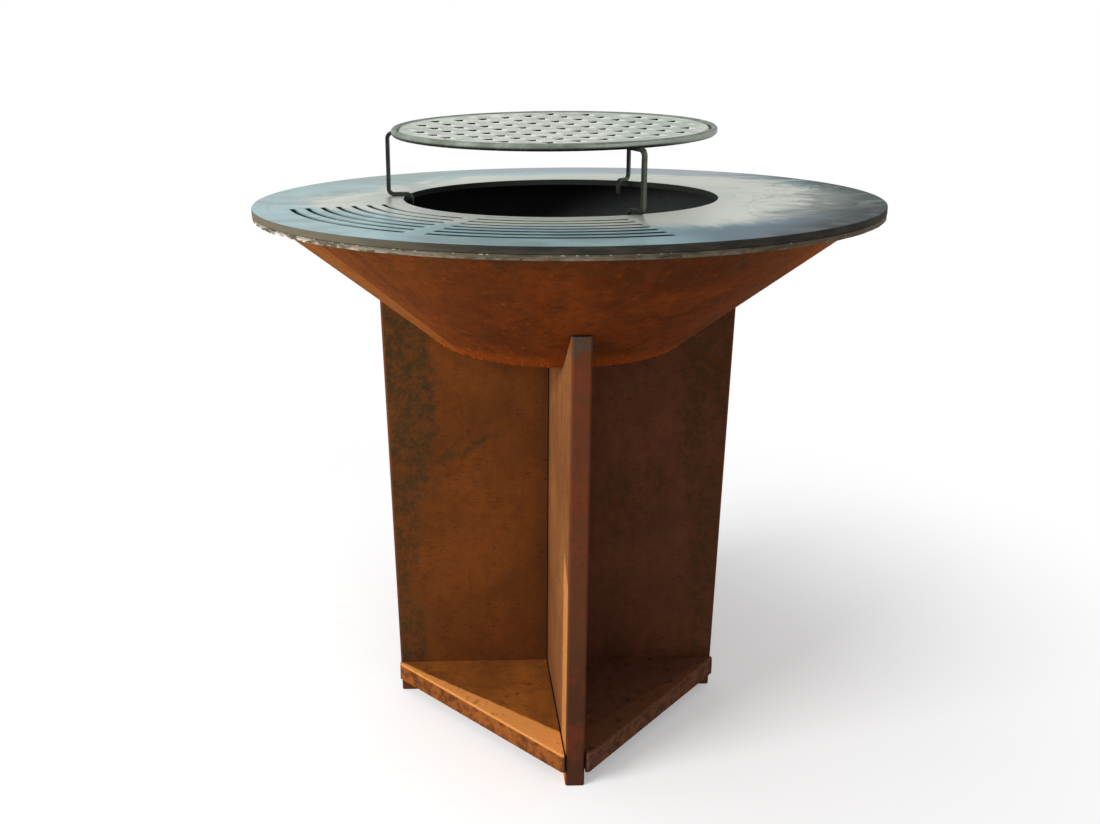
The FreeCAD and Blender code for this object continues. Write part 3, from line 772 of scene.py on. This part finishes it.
# %% Plate marks: slots
SLOTS, SLOT_HALF, SLOT_SPAN = 7, 0.0045, math.radians(41.5)
SLOT_FIRST_R, SLOT_LAST_R = 0.295, 0.439
SLOT_PITCH = (SLOT_LAST_R - SLOT_FIRST_R) / (SLOTS - 1)
BRIDGE_ANGLE, HALF_BRIDGE = math.radians(-121.5), math.radians(2.25)
SLOT_END = HALF_BRIDGE + SLOT_SPAN
in_pitch = calc(tree, "FRACT", scaled(tree, at["Radius"], 1 / SLOT_PITCH, 0.5 - SLOT_FIRST_R / SLOT_PITCH))
from_slot = times(tree, calc(tree, "ABSOLUTE", calc(tree, "SUBTRACT", in_pitch, 0.5)), SLOT_PITCH)
from_bridge = calc(tree, "ABSOLUTE", calc(tree, "SUBTRACT", at["Angle"], BRIDGE_ANGLE))
slotted = times(tree, ramp(tree, from_bridge, HALF_BRIDGE - 0.004, HALF_BRIDGE),
                ramp(tree, from_bridge, SLOT_END + 0.004, SLOT_END),
                calc(tree, "LESS_THAN", at["Radius"], SLOT_LAST_R + SLOT_PITCH / 2))
past_bridge = calc(tree, "GREATER_THAN", at["Angle"], BRIDGE_ANGLE)
# Painted shade: the top darkens beside the slots' edges, mostly right of the bridge, widening their dark
# lines.
slot_edge_shade = times(tree, ramp(tree, from_slot, SLOT_HALF + 0.0022, SLOT_HALF + 0.0008), slotted,
               scaled(tree, ramp(tree, at["Radius"], 0.33, 0.41), 0.65, 0.15),
               scaled(tree, past_bridge, 0.7, 0.3))
off_rim = ramp(tree, at["Radius"], PLATE_R - 0.02, PLATE_R - 0.03)
facing_left = ramp(tree, at["Angle"], BRIDGE_ANGLE - 0.06, BRIDGE_ANGLE - 0.44)
# Painted highlight on the upper part of the slot walls that face outwards, left of the bridge.
lit_side = times(tree, ramp(tree, in_pitch, 0.40, 0.36), off_rim, facing_left,
               ramp(tree, at["Height"], PLATE_TOP - 0.0026, PLATE_TOP - 0.0012))
print("two sectors of", SLOTS, "slots, pitch", round(SLOT_PITCH, 4))

# %% Plate finish
smoky = layered(tree, mixed(tree, ramp(tree, swirl, 0.40, 0.60), tone(44, 48, 47), tone(124, 131, 128)),
                (tone(44, 47, 46), ramp(tree, at["X"], 0.41, 0.49), 0.8),
                (tone(26, 28, 28), charred, 0.85))
face = layered(tree, mixed(tree, near_fire, tone(136, 172, 176), tone(190, 194, 182)),
               (tone(106, 136, 132), back, 0.75),
               (tone(120, 144, 139), dusty, 0.6),
               (tone(128, 137, 152), lilac, 0.8),
               (tone(92, 108, 122), slate, 0.92),
               (smoky, far_right, 0.94),
               (tone(134, 140, 137), wisps, 0.55),
               (tone(102, 126, 130), drift),
               (tone(118, 124, 124), ramp(tree, wiped, 0.45, 0.8), 0.22),
               (tone(26, 50, 62), slot_edge_shade))
edge_cloud = noise(tree, stretched(tree, place, 24, 24, 140), 1, 5, 0.62)
edge = layered(tree, mixed(tree, ramp(tree, edge_cloud, 0.35, 0.70), tone(34, 32, 28), tone(60, 55, 46)),
               (tone(112, 104, 84), ramp(tree, at["X"], -0.12, -0.40), 0.6),
               (tone(22, 34, 40), off_rim),
               (tone(124, 146, 148), lit_side),
               (tone(50, 54, 48), ramp(tree, at["Radius"], HOLE_R + 0.020, HOLE_R + 0.010)))
top = ramp(tree, at["Height"], PLATE_TOP - 0.0004, PLATE_TOP - 0.0002)
dull = calc(tree, "MAXIMUM", calc(tree, "MAXIMUM", far_right, slate), slot_edge_shade)
rough = scaled(tree, wiped, 0.10, scaled(tree, dull, 0.38, 0.30))
shine = times(tree, top, scaled(tree, dull, -0.53, 0.55))
close_finish(tree, mixed(tree, top, edge, face), between(tree, top, 0.92, rough), wiped, 0.00006,
             metallic=shine, specular=0.3)
print("finish", plate_steel.name)

# %% Plate lines and points
EDGE_ROUND, BREAK, SLOT_MEAN_R = 0.0012, 0.00012, 0.37
slot_middle = np.linspace(SLOT_FIRST_R, SLOT_LAST_R, SLOTS)
slot_start = BRIDGE_ANGLE + np.array([-SLOT_END, HALF_BRIDGE])
edge_lines = EDGE_ROUND * (1 - np.cos(np.linspace(0, np.pi / 2, 6)))
slot_sides = np.array([-SLOT_HALF - BREAK, -SLOT_HALF, SLOT_HALF, SLOT_HALF + BREAK])
lines_r = [HOLE_R + edge_lines, np.linspace(0.262, 0.283, 3), (slot_middle[:, None] + slot_sides).ravel(),
           np.linspace(0.4530, 0.4930, 6), PLATE_R - edge_lines]
lines_r = np.unique(np.concatenate(lines_r).round(7))
ends = slot_start[:, None] + np.array([0, SLOT_SPAN])
step = np.array([-1, 1]) * BREAK / SLOT_MEAN_R
regular = np.radians(np.arange(0, 360, 1.25)) - np.pi
off_ends = np.abs(regular[:, None] - ends.ravel()).min(1) > math.radians(0.5)
lines_a = np.sort(np.concatenate([regular[off_ends], ends.ravel(), (ends + step).ravel()]))
mid_r = (lines_r[1:] + lines_r[:-1]) / 2
mid_a = lines_a + (np.roll(lines_a, -1) - lines_a) % (2 * np.pi) / 2
in_slot_r = (np.abs(mid_r[:, None] - slot_middle) < SLOT_HALF).any(1)
in_slot_a = ((mid_a[:, None] > slot_start) & (mid_a[:, None] < slot_start + SLOT_SPAN)).any(1)
missing = in_slot_a[:, None] & in_slot_r[None]
kept = ~missing
rows, columns = len(lines_a), len(lines_r)
touched = np.zeros((rows, columns), bool)
touched[:, :-1] |= missing | np.roll(missing, 1, 0)
touched[:, 1:] |= missing | np.roll(missing, 1, 0)
from_edge = np.clip(np.minimum(lines_r - HOLE_R, PLATE_R - lines_r), 0, EDGE_ROUND)
rise = np.sqrt(np.clip(EDGE_ROUND ** 2 - (EDGE_ROUND - from_edge) ** 2, 0, None))
top_z = PLATE_TOP - EDGE_ROUND + rise[None] - np.where(touched, BREAK, 0)
level_xy = lines_r[None, :, None] * np.stack([np.cos(lines_a), np.sin(lines_a)], -1)[:, None]
upper = np.concatenate([level_xy, top_z[..., None]], -1).reshape(-1, 3)
under = np.concatenate([level_xy, np.full((rows, columns, 1), RIM_TOP)], -1).reshape(-1, 3)
print("plate grid of", rows, "angles and", columns, "radii,", missing.sum(), "cells left out")

# %% Plate faces
shift = rows * columns
number = np.arange(shift).reshape(rows, columns)
following = np.roll(number, -1, 0)
cell = np.stack([number[:, :-1], following[:, :-1], following[:, 1:], number[:, 1:]], -1)


def wall(first, second):
    """Quads from a line of upper points down to the same points underneath."""
    return np.stack([first, second, second + shift, first + shift], -1).reshape(-1, 4)


gap_out = kept[:, :-1] & missing[:, 1:]
gap_in = missing[:, :-1] & kept[:, 1:]
gap_on = kept & np.roll(missing, -1, 0)
gap_back = kept & np.roll(missing, 1, 0)
line, next_line = number[:, 1:-1], following[:, 1:-1]
plate_quads = np.concatenate([
    cell[kept][:, ::-1], cell[kept] + shift,
    wall(following[:, -1], number[:, -1])[:, ::-1], wall(number[:, 0], following[:, 0])[:, ::-1],
    wall(next_line[gap_out], line[gap_out])[:, ::-1], wall(line[gap_in], next_line[gap_in])[:, ::-1],
    wall(following[:, :-1][gap_on], following[:, 1:][gap_on])[:, ::-1],
    wall(number[:, 1:][gap_back], number[:, :-1][gap_back])[:, ::-1]])
plate_points = np.concatenate([upper, under])
used = np.unique(plate_quads)
renumber = np.zeros(len(plate_points), int)
renumber[used] = np.arange(len(used))
put("plancha_plate", plate_points[used], renumber[plate_quads], plate_steel,
    "plancha", "plate_steel", "plancha_ring")
dress(rim_steel, "plancha_lugs")

# %% [markdown]
# ## Grate hoop and legs
# The grate's hoop is a flat bar bent to a circle and laid at a slight slope, and each leg is a square bar
# with three bends. A hoop is an outline carried round the axis and then leaned. A leg is a square outline
# with rounded corners carried along a path in one upright plane: two directions, across the plane and square
# to the path, place the outline at every point of the path.

# %% Bar finish
def bar_finish(name, light, dark, low, lit_side, soot, metallic):
    """Blackened bar: cloudy between two tones, with a painted highlight where it faces the right front, and
    soot and painted shade below the hoop's middle."""
    material, tree, place = new_finish(name)
    at = use(tree, where_group, place)
    clouds = ramp(tree, noise(tree, place, 34, 5, 0.62), 0.34, 0.68)
    above = calc(tree, "SUBTRACT", at["Height"], scaled(tree, at["Y"], LEAN_SLOPE, HOOP_Z))
    faces = add(tree, "ShaderNodeNewGeometry").outputs["Normal"]
    # Painted light: lighter where the face turns to the right front.
    right_front = vector_calc(tree, "DOT_PRODUCT", faces, (0.75, -0.66, 0))
    # Soot and painted shade below the hoop's middle, fading out to the right.
    soot_and_shade = times(tree, ramp(tree, above, 0.0005, -0.0025), ramp(tree, at["X"], 0.20, 0.10))
    marks = noise(tree, place, 240, 4, 0.6)
    color = layered(tree, mixed(tree, clouds, dark, light),
                    (lit_side, ramp(tree, right_front, 0.62, 0.86), 0.9),
                    (low, soot_and_shade, soot),
                    (dark, ramp(tree, marks, 0.52, 0.70), 0.4))
    close_finish(tree, color, scaled(tree, marks, 0.2, 0.42), marks, 0.0003, metallic=metallic)
    print("finish", name)
    return material


# The third tone is painted light on faces turned to the right front; the low tone is soot and painted shade
# under the hoop.
hoop_steel = bar_finish("hoop_steel", tone(132, 138, 128), tone(100, 106, 96), low=tone(26, 28, 23),
                        lit_side=tone(188, 195, 184), soot=1.0, metallic=0.2)
leg_steel = bar_finish("leg_steel", tone(48, 51, 48), tone(26, 28, 27), low=tone(46, 49, 45),
                       lit_side=tone(116, 122, 106), soot=0.2, metallic=0.4)

# %% Grate hoop
HOOP_TURNS, HOOP_CORNER = 240, 0.0012
half_w, half_h, bevel = 0.0045, 0.0055, 0.0025
bar = np.array([[half_w, bevel - half_h], [half_w, half_h - bevel],
                [half_w - bevel, half_h], [bevel - half_w, half_h],
                [-half_w, half_h - bevel], [-half_w, bevel - half_h],
                [bevel - half_w, -half_h], [half_w - bevel, -half_h]])
hoop_outline = rounded(bar + [HOOP_R, 0], HOOP_CORNER, 3)
lean = np.array(Matrix.Rotation(GRATE_LEAN, 3, "X"))
hoop_points = turned(hoop_outline, HOOP_TURNS).reshape(-1, 3) @ lean.T + [STAND_X, 0, HOOP_Z]
put("grate_ring_bar", hoop_points, grid_quads(HOOP_TURNS, len(hoop_outline)), hoop_steel,
    "grate_stand", "hoop_steel", "grate_hoop")

# %% Grate legs
LEG_BAR, LEG_BEND, LEG_R, ARM_R, HOOK_R = 0.0065, 0.009, 0.27225, 0.2225, 0.2335
HOOK_LOW, LEG_CORNER = PLATE_TOP - 0.020, 0.0009
HOUSING, WELD_GAP = 0.0025, 0.0003


def leg_points(direction):
    """Square section carried along the leg's path. At a path point p with tangent t, the section's point
    (u, v) goes to p + u across + v (across x t), where across is level and square to the leg's plane."""
    turn = math.radians(direction)
    out_way = np.array([math.cos(turn), math.sin(turn), 0])
    across = np.array([-math.sin(turn), math.cos(turn), 0])
    slope = LEAN_SLOPE * math.sin(turn)
    drop = half_h - HOUSING + WELD_GAP + LEG_BAR / 2
    foot_z = PLATE_TOP + LEG_BAR / 2
    corners = [[ARM_R, HOOP_Z + slope * ARM_R - drop], [LEG_R, HOOP_Z + slope * LEG_R - drop],
               [LEG_R, foot_z], [HOOK_R, foot_z], [HOOK_R, HOOK_LOW]]
    flat_path = rounded(corners, LEG_BEND, 9, closed=False)
    flat_path = flat_path[np.r_[True, np.linalg.norm(np.diff(flat_path, axis=0), axis=1) > 1e-6]]
    path = flat_path[:, :1] * out_way + flat_path[:, 1:] * np.array([0, 0, 1]) + [STAND_X, 0, 0]
    run = unit(np.diff(path, axis=0))
    tangent = unit(np.concatenate([run[:1], run[:-1] + run[1:], run[-1:]]))
    square = rounded(LEG_BAR / 2 * np.array([[-1, -1], [1, -1], [1, 1], [-1, 1]]), LEG_CORNER, 3)
    normal = np.cross(across, tangent)
    return path[:, None] + square[None, :, :1] * across + square[None, :, 1:] * normal[:, None]


for side, direction in (("left", 172), ("front", -68), ("back", 52)):
    points = leg_points(direction)
    quads = capped_quads(*points.shape[:2])[:, ::-1]
    put(f"grate_leg_bar_{side}", points.reshape(-1, 3), quads, leg_steel,
        "grate_stand", "leg_steel", f"grate_leg_{side}")

# %% [markdown]
# ## Grid plate
# The round grid is a pale steel plate, dished by a few millimetres and pierced with square openings. Its
# shape is already right in the CAD node, so the node stays and only gets a finish: pale on top, slightly
# green on the right, with a seasoned film. The walls of the openings are told by their level normals and
# carry painted light: those that face left get a painted highlight, and the others painted shade. The
# openings' own lattice, shifted a little, tells where a painted highlight lies in front of each and a painted
# shade behind it.

# %% Grid finish
OPENING_PITCH, OPENING_TURN = 0.047, math.radians(25.5)
grid_steel, tree, place = new_finish("grid_steel")
at = use(tree, where_group, place)
film = noise(tree, place, 17, 6, 0.62, 0.5)
fine = noise(tree, place, 150, 4, 0.6)
faces = add(tree, "ShaderNodeNewGeometry").outputs["True Normal"]
way = add(tree, "ShaderNodeSeparateXYZ", {0: faces}).outputs
from_middle = vector_calc(tree, "SUBTRACT", stretched(tree, place, 1, 1, 0), (STAND_X, 0, 0))
pierced = ramp(tree, vector_calc(tree, "LENGTH", from_middle), 0.236, 0.226)


def beside_openings(behind, full, none):
    """1 where the square lattice has an opening behind metres further back: the rows are turned, each
    direction is divided by the pitch, and the larger distance from the nearest opening's middle counts."""
    there = vector_calc(tree, "ADD", from_middle, (0, behind, 0))
    turn_back = {"Vector": there, "Angle": -OPENING_TURN}
    rows = add(tree, "ShaderNodeVectorRotate", turn_back, rotation_type="Z_AXIS").outputs[0]
    along, across, _ = add(tree, "ShaderNodeSeparateXYZ", {0: rows}).outputs
    apart = []
    for value, offset in ((along, 0.0), (across, 0.5)):
        part = calc(tree, "FRACT", scaled(tree, value, 1 / OPENING_PITCH, offset))
        apart.append(calc(tree, "ABSOLUTE", calc(tree, "SUBTRACT", part, 0.5)))
    distance = times(tree, calc(tree, "MAXIMUM", *apart), OPENING_PITCH)
    return times(tree, ramp(tree, distance, none, full), pierced)


# Painted light on the openings' walls: a highlight where they face left, shade elsewhere.
wall_light_and_shade = mixed(tree, ramp(tree, way[0], -0.5, -0.8), tone(22, 24, 21), tone(206, 211, 202))
color = mixed(tree, ramp(tree, film, 0.36, 0.66), tone(204, 209, 200), tone(170, 178, 166))
color = layered(tree, color,
                (tone(140, 146, 136), ramp(tree, fine, 0.50, 0.72), 0.35),
                (tone(158, 170, 158), ramp(tree, at["X"], 0.02, 0.18), pierced, 0.6),
                # Painted shade behind each opening and a painted highlight in front of it.
                (tone(140, 150, 140), beside_openings(-0.013, 0.006, 0.013), 0.35),
                (tone(240, 243, 236), beside_openings(0.011, 0.0085, 0.0105), 0.75),
                (wall_light_and_shade, ramp(tree, way[2], 0.75, 0.55)))
close_finish(tree, color, scaled(tree, fine, 0.2, 0.40), fine, 0.0003, metallic=0.2)
dress(grid_steel, "grid_plate")
